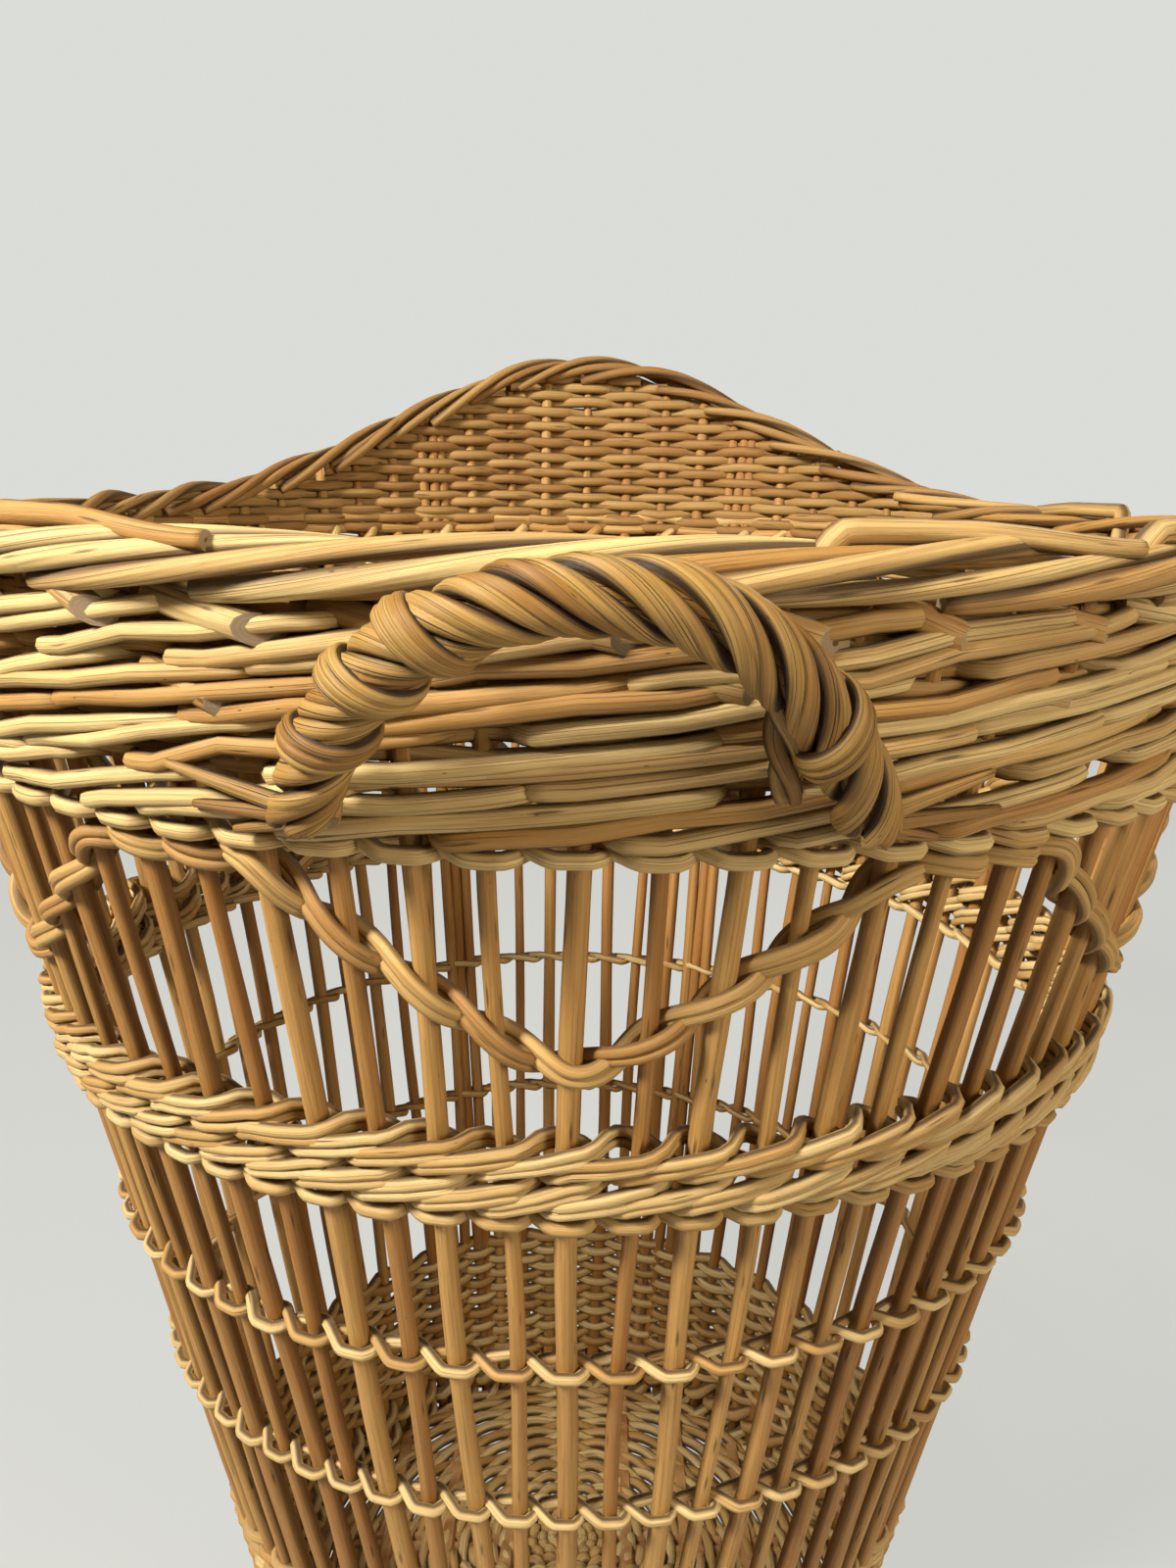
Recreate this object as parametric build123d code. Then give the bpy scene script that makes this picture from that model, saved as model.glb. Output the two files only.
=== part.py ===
from build123d import *
from math import asin, cos, pi, radians, sin
import os

# Open willow hamper: an oval, tapering wall of upright stakes, woven bands and open rows between them,
# a back that rises in a hump, and a roped bow handle on the front of the top band.
# Millimetres, +Z up, front towards -Y, origin on the floor under the widest line of the plan.

# Rows of the wall from the floor upwards, each height or gap measured from the one below it
foot_wale_height = 30.0
lower_siding_rows_height = 82.0
lower_fitch_gap = 96.0
upper_fitch_gap = 84.0
waist_gap = 78.0
waist_rows_height = 28.0
wave_foot_gap = 26.0
wave_depth = 68.0
band_pairing_gap = 8.0
band_rows_height = 65.0
border_height = 20.0
hump_rise = 85.0

# Plan at the stakes' axes: half width, and depth to the front and the back of the widest line
rim_half_width = 256.0
rim_front_depth = 198.0
rim_back_depth = 263.0
floor_half_width = 152.0
floor_front_depth = 90.0
floor_back_depth = 138.0
hump_shoulder = 6.0

# Stakes and posts
wave_count = 6
stakes_per_wave = 11
stake_foot_diameter = 8.0
stake_tip_diameter = 6.6
post_rod_diameter = 6.6
post_rods = 3
post_stake_offset = 4
rod_sides = 6
side_stakes_from = radians(45)

# Weavers, measured across the wall or upwards, and the grooves between their rows
band_rod_thickness = 7.6
hump_rod_thickness = 5.0
siding_rod_thickness = 5.0
waist_rod_thickness = 7.0
foot_rod_thickness = 7.0
foot_swell = 3.5
pairing_rod_thickness = 5.0
pairing_row_height = 7.0
row_groove = 1.6
skin_step_height = 40.0
band_rows = 8
waist_rows = 4
lower_siding_rows = 6
wave_rod_diameter = 5.6
wave_flank_stakes = 4
wave_sides = 4

# Border roll
border_width = 27.0
border_sides = 8

# Handle
handle_half_width = 72.0
handle_foot_drop = 71.0
handle_rise = 60.0
handle_lean_out = 16.0
bow_diameter = 8.4
strand_diameter = 5.2
strand_count = 6
strand_pitch = 50.0
strand_sides = 4
tail_diameter = 5.6
tail_length = 46.0
tail_climb = radians(12)

# Base
base_layer_thickness = 4.0
short_stick_diameter = 9.0
long_stick_diameter = 4.6
short_stick_count = 7
long_stick_count = 3
short_stick_spacing = 34.0
long_stick_spacing = 6.0

# Clearances
weave_clearance = 0.3
row_clearance = 0.2
stick_clearance = 0.2
strand_clearance = 0.7
handle_clearance = 0.1

stake_count = wave_count * stakes_per_wave
stake_step = 2 * pi / stake_count
skin_offset = stake_foot_diameter / 2 + weave_clearance
front_band_offset = skin_offset + band_rod_thickness
lower_siding_height = foot_wale_height + lower_siding_rows_height
lower_fitch_height = lower_siding_height + lower_fitch_gap
upper_fitch_height = lower_fitch_height + upper_fitch_gap
waist_bottom = upper_fitch_height + waist_gap
wave_top_height = waist_bottom + waist_rows_height + wave_foot_gap + wave_depth
band_pairing_height = wave_top_height + band_pairing_gap
border_underside = band_pairing_height + band_rows_height
front_rim_height = border_underside + border_height
siding_bottom = band_pairing_height + pairing_row_height / 2 + row_clearance
hump_half_width = rim_half_width - hump_shoulder
hump_end_angle = pi - asin(hump_half_width / rim_half_width)
back_lean = (rim_back_depth - floor_back_depth) / front_rim_height
rim_steepness = pi * hump_rise / (2 * hump_half_width) + back_lean


def plan_sizes(z):
    share = z / front_rim_height
    half_width = floor_half_width + (rim_half_width - floor_half_width) * share
    front_depth = floor_front_depth + (rim_front_depth - floor_front_depth) * share
    back_depth = floor_back_depth + (rim_back_depth - floor_back_depth) * share
    return half_width, front_depth, back_depth


# Angle 0 is the front, a quarter turn is the right side; outward moves off the stakes' axes.
def wall_point(angle, z, outward=0.0, corner_reach=1.0):
    half_width, front_depth, back_depth = plan_sizes(z)
    depth = front_depth if cos(angle) > 0 else back_depth
    x = (half_width + outward) * corner_reach * sin(angle)
    y = -(depth + outward) * corner_reach * cos(angle)
    return Vector(x, y, z)


def wall_normal(angle, z):
    half_width, front_depth, back_depth = plan_sizes(z)
    depth = front_depth if cos(angle) > 0 else back_depth
    return Vector(sin(angle) / half_width, -cos(angle) / depth, 0).normalized()


# The rim is level in front and rises over the back as one wave of a cosine.
def rim_height(angle):
    height = front_rim_height
    if cos(angle) > 0:
        return height
    for _ in range(8):
        x = wall_point(angle, height).X
        if abs(x) >= hump_half_width:
            return front_rim_height
        height = front_rim_height + hump_rise * (1 + cos(pi * x / hump_half_width)) / 2
    return height


# A closed plan outline with a flat for each two stakes: outside the stakes its corners stand between
# pairs of them, inside it has a corner at every second stake.
def plan_face(z, outward):
    corner_stake = 1.5 if outward > 0 else 1.0
    reach = cos(stake_step / 2) / cos(stake_step) if outward > 0 else 1.0
    stakes = [2 * index + corner_stake for index in range(stake_count // 2)]
    corners = [wall_point(stake * stake_step, z, outward, reach) for stake in stakes]
    return make_face(Polyline(*corners, close=True))


# A solid lofted through plan outlines whose offsets are given at even heights
def plan_loft(low, high, offsets):
    heights = [low + (high - low) * index / (len(offsets) - 1) for index in range(len(offsets))]
    return loft([plan_face(z, offset) for z, offset in zip(heights, offsets)], ruled=True)


# A tall skin is lofted in steps, so that its flats stay nearly plane.
def even_offsets(low, high, offset):
    return [offset] * (2 + int((high - low) / skin_step_height))


# Weaving round the wall, hollow inside the inner offset
def woven_ring(low, high, inner, outer_offsets):
    hollow = plan_loft(low, high, even_offsets(low, high, inner))
    return (plan_loft(low, high, outer_offsets) - hollow).solid()


# Rows of weavers in front of the stakes, rounded by the grooves between them
def outer_rows(low, high, thickness, rows):
    crest = skin_offset + thickness
    return woven_ring(low, high, skin_offset, [crest - row_groove] + [crest, crest - row_groove] * rows)


def outer_skin(low, high, thickness):
    return woven_ring(low, high, skin_offset, even_offsets(low, high, skin_offset + thickness))


def inner_skin(low, high, thickness):
    return woven_ring(low, high, -skin_offset - thickness, even_offsets(low, high, -skin_offset))


def both_skins(low, high, thickness):
    return Compound([outer_skin(low, high, thickness), inner_skin(low, high, thickness)])


def pairing_row(middle):
    low = middle - pairing_row_height / 2
    return both_skins(low, low + pairing_row_height, pairing_rod_thickness)


# Corners of a rod's few-sided sections along points; the first section faces the given way and the others
# follow it without turning about the rod.
def rod_sections(points, facing, radii, sides):
    sections = []
    last = len(points) - 1
    across = facing
    for index, point in enumerate(points):
        along = (points[min(index + 1, last)] - points[max(index - 1, 0)]).normalized()
        across = (across - along * across.dot(along)).normalized()
        up = along.cross(across)
        turns = [2 * pi * (side + 0.5) / sides for side in range(sides)]
        radius = radii[index]
        sections.append([point + across * (radius * cos(turn)) + up * (radius * sin(turn)) for turn in turns])
    return sections


def faceted_rod(points, facing, radii, sides):
    sections = rod_sections(points, facing, radii, sides)
    return loft([make_face(Polyline(*corners, close=True)) for corners in sections], ruled=True).solid()


def even_rod(points, facing, diameter, sides):
    return faceted_rod(points, facing, [diameter / 2] * len(points), sides)


# A rod that winds too tightly for plane flats is closed with triangles from each section to the next.
def wound_rod(points, facing, diameter, sides):
    sections = rod_sections(points, facing, [diameter / 2] * len(points), sides)
    outlines = [sections[0], sections[-1]]
    for near, far in zip(sections, sections[1:]):
        for side in range(sides):
            beside = (side + 1) % sides
            outlines.append([near[side], near[beside], far[beside]])
            outlines.append([near[side], far[beside], far[side]])
    return Solid(Shell([Face(Wire.make_polygon(outline)) for outline in outlines]))


# A straight rod whose flats lie on the diameters given for its two ends
def straight_rod(start, end, facing, start_diameter, end_diameter):
    radii = [diameter / 2 / cos(pi / rod_sides) for diameter in (start_diameter, end_diameter)]
    return faceted_rod([start, end], facing, radii, rod_sides)


# Stakes run from the floor of the foot wale to the underside of the border, where a square end needs room
# under the hump's steepest slope.
def stake_top(angle):
    return rim_height(angle) - border_height - row_clearance - stake_foot_diameter / 2 * rim_steepness


def stake(angle):
    foot = wall_point(angle, base_layer_thickness)
    tip = wall_point(angle, stake_top(angle))
    return straight_rod(foot, tip, wall_normal(angle, 0), stake_foot_diameter, stake_tip_diameter)


post_indexes = (stake_count // 2 - post_stake_offset, stake_count // 2 + post_stake_offset)
stake_runs = {"front_stakes": [], "right_stakes": [], "back_stakes": [], "left_stakes": []}
for index in range(stake_count):
    if index in post_indexes:
        continue
    angle = index * stake_step
    if angle < side_stakes_from or angle > 2 * pi - side_stakes_from:
        run = "front_stakes"
    elif angle < pi - side_stakes_from:
        run = "right_stakes"
    elif angle < pi + side_stakes_from:
        run = "back_stakes"
    else:
        run = "left_stakes"
    stake_runs[run].append(stake(angle))


# A heavy post is a bundle of rods side by side in the place of one stake.
def back_post(index):
    angle = index * stake_step
    top = stake_top(angle)
    rods = []
    for place in range(post_rods):
        shift = (place - (post_rods - 1) / 2) * (post_rod_diameter + row_clearance)
        ends = []
        for z in (base_layer_thickness, top - border_height / 2):
            normal = wall_normal(angle, z)
            ends.append(wall_point(angle, z) + Vector(-normal.Y, normal.X, 0) * shift)
        rods.append(straight_rod(*ends, wall_normal(angle, 0), post_rod_diameter, post_rod_diameter))
    return Compound(rods)


# Base: slit short sticks with the long sticks passed through, between two layers of weave
stick_axis_height = base_layer_thickness + stick_clearance + short_stick_diameter / 2
base_upper_low = base_layer_thickness + 2 * stick_clearance + short_stick_diameter
base_top = base_upper_low + base_layer_thickness
base_middle_y = (floor_back_depth - floor_front_depth) / 2


def base_layer(low):
    return plan_loft(low, low + base_layer_thickness, [-skin_offset] * 2)


def stick_reach(angle):
    return wall_point(angle, stick_axis_height, -skin_offset - short_stick_diameter)


short_sticks = []
slit_width = long_stick_count * long_stick_spacing
slit_height = long_stick_diameter + 2 * stick_clearance
for index in range(short_stick_count):
    x = (index - (short_stick_count - 1) / 2) * short_stick_spacing
    angle = asin(x / stick_reach(pi / 2).X)
    front = Vector(x, stick_reach(angle).Y, stick_axis_height)
    back = Vector(x, stick_reach(pi - angle).Y, stick_axis_height)
    stick = straight_rod(front, back, Vector(0, 0, 1), short_stick_diameter, short_stick_diameter)
    slit = Pos(x, base_middle_y, stick_axis_height) * Box(2 * short_stick_diameter, slit_width, slit_height)
    short_sticks.append((stick - slit).solid())

long_sticks = []
for index in range(long_stick_count):
    y = base_middle_y + (index - (long_stick_count - 1) / 2) * long_stick_spacing
    reach = stick_reach(pi / 2).X * cos(asin(y / stick_reach(pi).Y))
    ends = [Vector(side * reach, y, stick_axis_height) for side in (-1, 1)]
    long_sticks.append(straight_rod(*ends, Vector(0, 0, 1), long_stick_diameter, long_stick_diameter))

# Foot wale, flat underneath and swelling out above
foot_outer = skin_offset + foot_rod_thickness
foot_wale = woven_ring(0, foot_wale_height, skin_offset, [foot_outer, foot_outer + foot_swell, foot_outer])

siding_foot = foot_wale_height + row_clearance
lower_siding = Compound([
    outer_rows(siding_foot, lower_siding_height, siding_rod_thickness, lower_siding_rows),
    inner_skin(base_top + row_clearance, lower_siding_height, siding_rod_thickness),
])

# Waist wale and the pairing row that closes it underneath
waist_top_height = waist_bottom + waist_rows_height
waist_wale = Compound([
    outer_rows(waist_bottom, waist_top_height, waist_rod_thickness, waist_rows),
    inner_skin(waist_bottom, waist_top_height, waist_rod_thickness),
])
waist_pairing = pairing_row(waist_bottom - row_clearance - pairing_row_height / 2)


# The wave fitch dips in a V of straight flanks between level stretches, one V for each wave.
def wave_height(steps_from_dip):
    return wave_top_height - wave_depth * max(0.0, 1 - abs(steps_from_dip) / wave_flank_stakes)


# One wave has a section at each stake and one at either end, halfway to the next stake.
def wave_run(wave, outward):
    end_step = stakes_per_wave / 2
    steps = [-end_step] + list(range(-(stakes_per_wave // 2), stakes_per_wave // 2 + 1)) + [end_step]
    angles = [(wave * stakes_per_wave + step) * stake_step for step in steps]
    points = [wall_point(angle, wave_height(step), outward) for angle, step in zip(angles, steps)]
    return even_rod(points, wall_normal(angles[0], wave_top_height), wave_rod_diameter, wave_sides)


wave_offset = skin_offset + wave_rod_diameter / 2 * cos(pi / wave_sides)
wave_fitch = Compound([wave_run(wave, side * wave_offset) for side in (1, -1) for wave in range(wave_count)])

# Top band, level all round, and the packing that fills the hump above it
siding_top = border_underside - row_clearance
upper_siding = Compound([
    outer_rows(siding_bottom, siding_top, band_rod_thickness, band_rows),
    inner_skin(siding_bottom, siding_top, band_rod_thickness),
])


# Sections of the hump and the border stand midway between the stakes.
section_angles = [(index + 0.5) * stake_step for index in range(stake_count)]


def hump_skin(inner, outer):
    sections = []
    for angle in section_angles:
        top = rim_height(angle) - border_height - row_clearance
        if top - border_underside < hump_rod_thickness:
            continue
        heights = (border_underside, (border_underside + top) / 2, top)
        outside = [wall_point(angle, z, outer) for z in heights]
        inside = [wall_point(angle, z, inner) for z in reversed(heights)]
        sections.append(make_face(Polyline(*outside, *inside, close=True)))
    return loft(sections, ruled=True).solid()


hump_outer = skin_offset + hump_rod_thickness
hump_siding = Compound([hump_skin(skin_offset, hump_outer), hump_skin(-hump_outer, -skin_offset)])


# Border roll over the stakes' tops, from one angle to another
def border_roll(start, end):
    between = [angle + turn for turn in (-2 * pi, 0) for angle in section_angles]
    angles = [start] + [angle for angle in between if start < angle < end] + [end]
    sections = []
    for angle in angles:
        centre = wall_point(angle, rim_height(angle)) - Vector(0, 0, border_height / 2)
        across = wall_normal(angle, front_rim_height) * (border_width / 2)
        up = Vector(0, 0, border_height / 2)
        reach = 1 / cos(pi / border_sides)
        turns = [2 * pi * (side + 0.5) / border_sides for side in range(border_sides)]
        corners = [centre + across * (reach * cos(turn)) + up * (reach * sin(turn)) for turn in turns]
        sections.append(make_face(Polyline(*corners, close=True)))
    return loft(sections, ruled=True)


front_border = border_roll(-hump_end_angle, hump_end_angle)
hump_border = border_roll(hump_end_angle, 2 * pi - hump_end_angle)

# Handle: a bow that follows the band's front, stands off it at the top and is roped with twisted strands
handle_foot_height = front_rim_height - handle_foot_drop
strand_radius = bow_diameter / 2 + strand_clearance + strand_diameter / 2
rope_radius = strand_radius + strand_diameter / 2 * cos(pi / strand_sides)
handle_offset = front_band_offset + rope_radius + handle_clearance
bow_steps = 48
bow_sides = 8


def bow_point(turn):
    x = -handle_half_width * cos(turn)
    z = handle_foot_height + handle_rise * sin(turn)
    outward = handle_offset + handle_lean_out * sin(turn)
    half_width = plan_sizes(z)[0] + outward
    return wall_point(asin(x / half_width), z, outward)


bow_points = [bow_point(pi * step / bow_steps) for step in range(bow_steps + 1)]
bow_front = Vector(0, -1, 0)
handle_bow = even_rod(bow_points[::2], bow_front, bow_diameter, bow_sides)


def handle_strand(number):
    points = []
    run = 0.0
    for index, centre in enumerate(bow_points):
        before = bow_points[max(index - 1, 0)]
        after = bow_points[min(index + 1, bow_steps)]
        run += (centre - before).length
        along = (after - before).normalized()
        front = (bow_front - along * bow_front.dot(along)).normalized()
        side = along.cross(front)
        twist = 2 * pi * (run / strand_pitch + number / strand_count)
        points.append(centre + (front * cos(twist) + side * sin(twist)) * strand_radius)
    return wound_rod(points, points[0] - bow_points[0], strand_diameter, strand_sides)


handle_strands = Compound([handle_strand(number) for number in range(strand_count)])


# The strands' ends lie along the band beside each foot of the handle.
def handle_tail(side):
    tail_offset = front_band_offset + weave_clearance + tail_diameter / 2
    start_x = side * (handle_half_width + strand_radius + strand_diameter)
    points = []
    for share in (0.0, 0.5, 1.0):
        x = start_x + side * tail_length * share
        z = handle_foot_height + tail_length * share * sin(tail_climb)
        half_width = plan_sizes(z)[0] + tail_offset
        points.append(wall_point(asin(x / half_width), z, tail_offset))
    return even_rod(points, bow_front, tail_diameter, rod_sides)


nodes = {
    "base_short_sticks": Compound(short_sticks),
    "base_long_sticks": Compound(long_sticks),
    "base_weave_under": base_layer(0),
    "base_weave_upper": base_layer(base_upper_low),
    "foot_wale": foot_wale,
    "lower_siding": lower_siding,
    "lower_fitch": pairing_row(lower_fitch_height),
    "upper_fitch": pairing_row(upper_fitch_height),
    "waist_pairing": waist_pairing,
    "waist_wale": waist_wale,
    "wave_fitch": wave_fitch,
    "band_pairing": pairing_row(band_pairing_height),
    "upper_siding": upper_siding,
    "hump_siding": hump_siding,
    "front_border": front_border,
    "hump_border": hump_border,
    "right_back_post": back_post(post_indexes[0]),
    "left_back_post": back_post(post_indexes[1]),
    "handle_bow": handle_bow,
    "handle_strands": handle_strands,
    "handle_tails": Compound([handle_tail(side) for side in (-1, 1)]),
}
for name, rods in stake_runs.items():
    nodes[name] = Compound(rods)

os.makedirs("parts", exist_ok=True)
for name, shape in nodes.items():
    export_step(shape, f"parts/{name}.step")
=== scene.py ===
import math
import bpy
import numpy as np
from mathutils import Matrix, Vector


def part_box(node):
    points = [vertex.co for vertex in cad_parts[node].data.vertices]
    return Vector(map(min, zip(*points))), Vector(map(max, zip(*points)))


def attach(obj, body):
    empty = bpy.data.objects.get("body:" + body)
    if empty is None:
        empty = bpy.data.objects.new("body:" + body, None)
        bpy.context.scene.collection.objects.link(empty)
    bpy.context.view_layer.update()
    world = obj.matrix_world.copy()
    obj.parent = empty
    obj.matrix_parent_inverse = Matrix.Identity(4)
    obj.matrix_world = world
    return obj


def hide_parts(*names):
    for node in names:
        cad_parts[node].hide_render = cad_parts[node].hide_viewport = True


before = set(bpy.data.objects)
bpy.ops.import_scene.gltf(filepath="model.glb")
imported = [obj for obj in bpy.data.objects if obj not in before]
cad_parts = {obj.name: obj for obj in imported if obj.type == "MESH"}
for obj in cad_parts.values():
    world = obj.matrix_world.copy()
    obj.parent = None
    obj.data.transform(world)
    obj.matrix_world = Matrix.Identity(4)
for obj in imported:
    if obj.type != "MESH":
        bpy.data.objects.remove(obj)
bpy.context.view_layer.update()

print("frame loaded:", len(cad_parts), "nodes")

# the wall that every rod follows, in metres, at the stakes' axes
wall = {
    "rimHeight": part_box("front_border")[1][2],
    "humpRise": 0.085, "humpHalfWidth": 0.250, "settleRounds": 8,
    "rimHalfWidth": 0.256, "rimFront": 0.198, "rimBack": 0.263,
    "floorHalfWidth": 0.152, "floorFront": 0.090, "floorBack": 0.138,
    "stakes": 66, "stakeRadius": 0.0038, "borderHeight": 0.020,
}
stakeStep = 2 * math.pi / wall["stakes"]
upward = np.array([0, 0, 1.0])
ahead = np.array([0, -1.0, 0])


# lowest and highest level of a CAD node
def levels(node):
    low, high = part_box(node)
    return low[2], high[2]


# each vector over its own length
def unit(v):
    return v / np.maximum(np.linalg.norm(v, axis=-1, keepdims=True), 1e-9)


# three times the square less twice the cube of the share between low and high
def smooth(low, high, value):
    share = np.clip((value - low) / (high - low), 0, 1)
    return share * share * (3 - 2 * share)


# half width, front depth and back depth grow in a straight line from the floor to the rim
def planSizes(z):
    share = np.asarray(z) / wall["rimHeight"]
    ends = [(wall["floor" + part], wall["rim" + part]) for part in ("HalfWidth", "Front", "Back")]
    return [low + (high - low) * share for low, high in ends]


# oval plan: half width times sine across, front or back depth times cosine along
def wallPoint(angle, z, outward=0.0):
    angle, z, outward = np.broadcast_arrays(np.asarray(angle, float), z, outward)
    halfWidth, front, back = planSizes(z)
    depth = np.where(np.cos(angle) > 0, front, back)
    x = (halfWidth + outward) * np.sin(angle)
    y = -(depth + outward) * np.cos(angle)
    return np.stack([x, y, z], -1)


# the same at a distance across: the angle is the arc sine of x over the half width
def wallPointAt(x, z, outward):
    return wallPoint(np.arcsin(x / (planSizes(z)[0] + outward)), z, outward)


# gradient of the oval, turned level and made one long
def wallNormal(angle, z):
    angle, z = np.broadcast_arrays(np.asarray(angle, float), z)
    halfWidth, front, back = planSizes(z)
    depth = np.where(np.cos(angle) > 0, front, back)
    return unit(np.stack([np.sin(angle) / halfWidth, -np.cos(angle) / depth, np.zeros_like(halfWidth)], -1))


# level rim in front, one cosine wave over the back; a few rounds settle the height where the wall leans
def rimHeight(angle):
    angle = np.asarray(angle, float)
    z = np.full(angle.shape, wall["rimHeight"])
    for _ in range(wall["settleRounds"]):
        x = planSizes(z)[0] * np.sin(angle)
        inHump = (np.cos(angle) < 0) & (np.abs(x) < wall["humpHalfWidth"])
        rise = wall["humpRise"] * (1 + np.cos(np.pi * x / wall["humpHalfWidth"])) / 2
        z = wall["rimHeight"] + np.where(inHump, rise, 0.0)
    return z


# a chance value for each whole stake, drawn straight between, going round once
def jitter(rng, s, size):
    knots = rng.normal(0, size, wall["stakes"])
    return np.interp(s % wall["stakes"], np.arange(wall["stakes"] + 1), np.append(knots, knots[0]))


# places along a row, counted in stakes from the middle of the back once round, so that joins lie behind
def roundTrip(perStake):
    return np.arange(wall["stakes"] * perStake) / perStake - wall["stakes"] / 2


# places in equal steps of so many stakes, once round
def spreadCentres(step):
    return np.linspace(0, wall["stakes"], round(wall["stakes"] / step), endpoint=False)


# rods pieced together along a row: each length has its own tone and runs from thick butt to thin tip
def pieced(rng, s, length, first, taper):
    lengths = (s - first) / length
    index = np.floor(lengths).astype(int)
    tones = rng.random(200)
    thick = 1 + taper * (0.45 - (lengths - index))
    return tones[index % 200], thick


# in and out by turns: a cosine of half a turn for each stake, with fuller crests
def plainWeave(s, row, swing):
    weave = np.cos(np.pi * (s + row))
    return np.sign(weave) * np.abs(weave) ** 0.7 * swing


# one tone for the whole of each rod
def toneRows(tones, count):
    return np.repeat(np.reshape(tones, (-1, 1)), count, 1)


# a ring round each path point: the way across the path times cosine, plus the way up times sine
# the bevel slants the last ring, so that the cut faces the reference direction
def rodRings(paths, radii, refs, sides, closed, flatten, bevel):
    tangent = np.roll(paths, -1, 1) - np.roll(paths, 1, 1) if closed else np.gradient(paths, axis=1)
    tangent = unit(tangent)
    across = unit(refs - tangent * np.sum(refs * tangent, -1, keepdims=True))
    up = np.cross(tangent, across)
    turn = np.arange(sides) * 2 * np.pi / sides
    wide = flatten * np.cos(turn)
    ring = across[:, :, None] * wide[:, None] + up[:, :, None] * np.sin(turn)[:, None]
    rings = paths[:, :, None] + ring * radii[:, :, None, None]
    if bevel:
        slant = radii[:, -1, None] * bevel * (1 + wide)
        rings[:, -1] -= tangent[:, -1, None] * slant[..., None]
    return rings


# quads from each ring to the next, and their map: metres along the rod, turns round it;
# the span that closes a loop counts as long as the first
def rodSides(paths, sides, closed):
    rods, count = paths.shape[:2]
    spans = count if closed else count - 1
    rod = np.arange(rods)[:, None, None] * count * sides
    here = np.arange(spans)[:, None] * sides
    there = (np.arange(spans)[:, None] + 1) % count * sides
    j = np.arange(sides)
    k = (j + 1) % sides
    quads = np.stack([rod + here + j, rod + here + k, rod + there + k, rod + there + j], -1)
    step = np.linalg.norm(np.diff(paths, axis=1), axis=-1)
    if closed:
        step = np.concatenate([step, step[:, :1]], 1)
    shape = (rods, spans, sides)
    uHigh = np.broadcast_to(np.cumsum(step, 1)[..., None], shape)
    uLow = uHigh - step[..., None]
    vLow = np.broadcast_to(j / sides, shape)
    vHigh = vLow + 1 / sides
    corners = ((uLow, vLow), (uLow, vHigh), (uHigh, vHigh), (uHigh, vLow))
    quadUv = np.stack([np.stack(corner, -1) for corner in corners], -2)
    return quads.reshape(-1, 4), quadUv.reshape(-1, 2)


# fans that close both ends of each rod round a middle point, mapped to a disc
def rodEnds(rods, count, sides):
    j = np.arange(sides)
    k = (j + 1) % sides
    rod = np.arange(rods)[:, None]
    first = rod * count * sides
    last = first + (count - 1) * sides
    startMid = np.broadcast_to(rods * count * sides + rod, (rods, sides))
    startFan = np.stack([startMid, first + k, first + j], -1)
    endFan = np.stack([startMid + rods, last + j, last + k], -1)
    turn = j * 2 * np.pi / sides
    disc = np.stack([0.5 + 0.5 * np.cos(turn), 0.5 + 0.5 * np.sin(turn)], -1)
    mid = np.full((sides, 2), 0.5)
    startUv = np.stack([mid, disc[k], disc[j]], 1).reshape(-1, 2)
    endUv = np.stack([mid, disc[j], disc[k]], 1).reshape(-1, 2)
    fans = np.concatenate([startFan, endFan]).reshape(-1, 3)
    return fans, np.concatenate([np.tile(startUv, (rods, 1)), np.tile(endUv, (rods, 1))])


# sections carried along each path; rows are rods, columns points along them
def sweepRods(name, paths, radii, refs, tones, sides, closed=False, flatten=1.0, bevel=0.0):
    rings = rodRings(paths, radii, refs, sides, closed, flatten, bevel)
    quads, loopUv = rodSides(paths, sides, closed)
    points = rings.reshape(-1, 3)
    pointTones = np.repeat(tones.reshape(-1), sides)
    faces = quads.tolist()
    cut = np.zeros(len(quads))
    if not closed:
        fans, fanUv = rodEnds(*paths.shape[:2], sides)
        points = np.concatenate([points, rings[:, 0].mean(1), rings[:, -1].mean(1)])
        pointTones = np.concatenate([pointTones, tones[:, 0], tones[:, -1]])
        faces += fans.tolist()
        loopUv = np.concatenate([loopUv, fanUv])
        cut = np.concatenate([cut, np.ones(len(fans))])
    return makePiece(name, points, faces, loopUv, pointTones, cut)


# rows gathered one by one as path, radius, reference and tone
def sweepRows(name, rows, sides, closed=True):
    return sweepRods(name, *[np.array(column) for column in zip(*rows)], sides, closed)


# one row on the wall, its sections set to the wall's normal
def wallRow(angle, z, outward, radius, tone):
    return wallPoint(angle, z, outward), radius, wallNormal(angle, z), tone


# a new object that holds the data, linked to the scene
def addObject(name, data):
    made = bpy.data.objects.new(name, data)
    bpy.context.scene.collection.objects.link(made)
    return made


# mesh with the rod map, each point's tone, and a mark on the faces of cut ends, which stay flat
def makePiece(name, points, faces, loopUv, tones, cut):
    mesh = bpy.data.meshes.new(name)
    mesh.from_pydata(points.tolist(), [], faces)
    uv = mesh.uv_layers.new(name="rodUv")
    uv.data.foreach_set("uv", loopUv.astype(np.float32).ravel())
    tone = mesh.attributes.new("rodTone", "FLOAT", "POINT")
    tone.data.foreach_set("value", tones.astype(np.float32))
    end = mesh.attributes.new("cutEnd", "FLOAT", "FACE")
    end.data.foreach_set("value", cut.astype(np.float32))
    mesh.polygons.foreach_set("use_smooth", cut < 0.5)
    mesh.update()
    return addObject(name, mesh)


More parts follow.
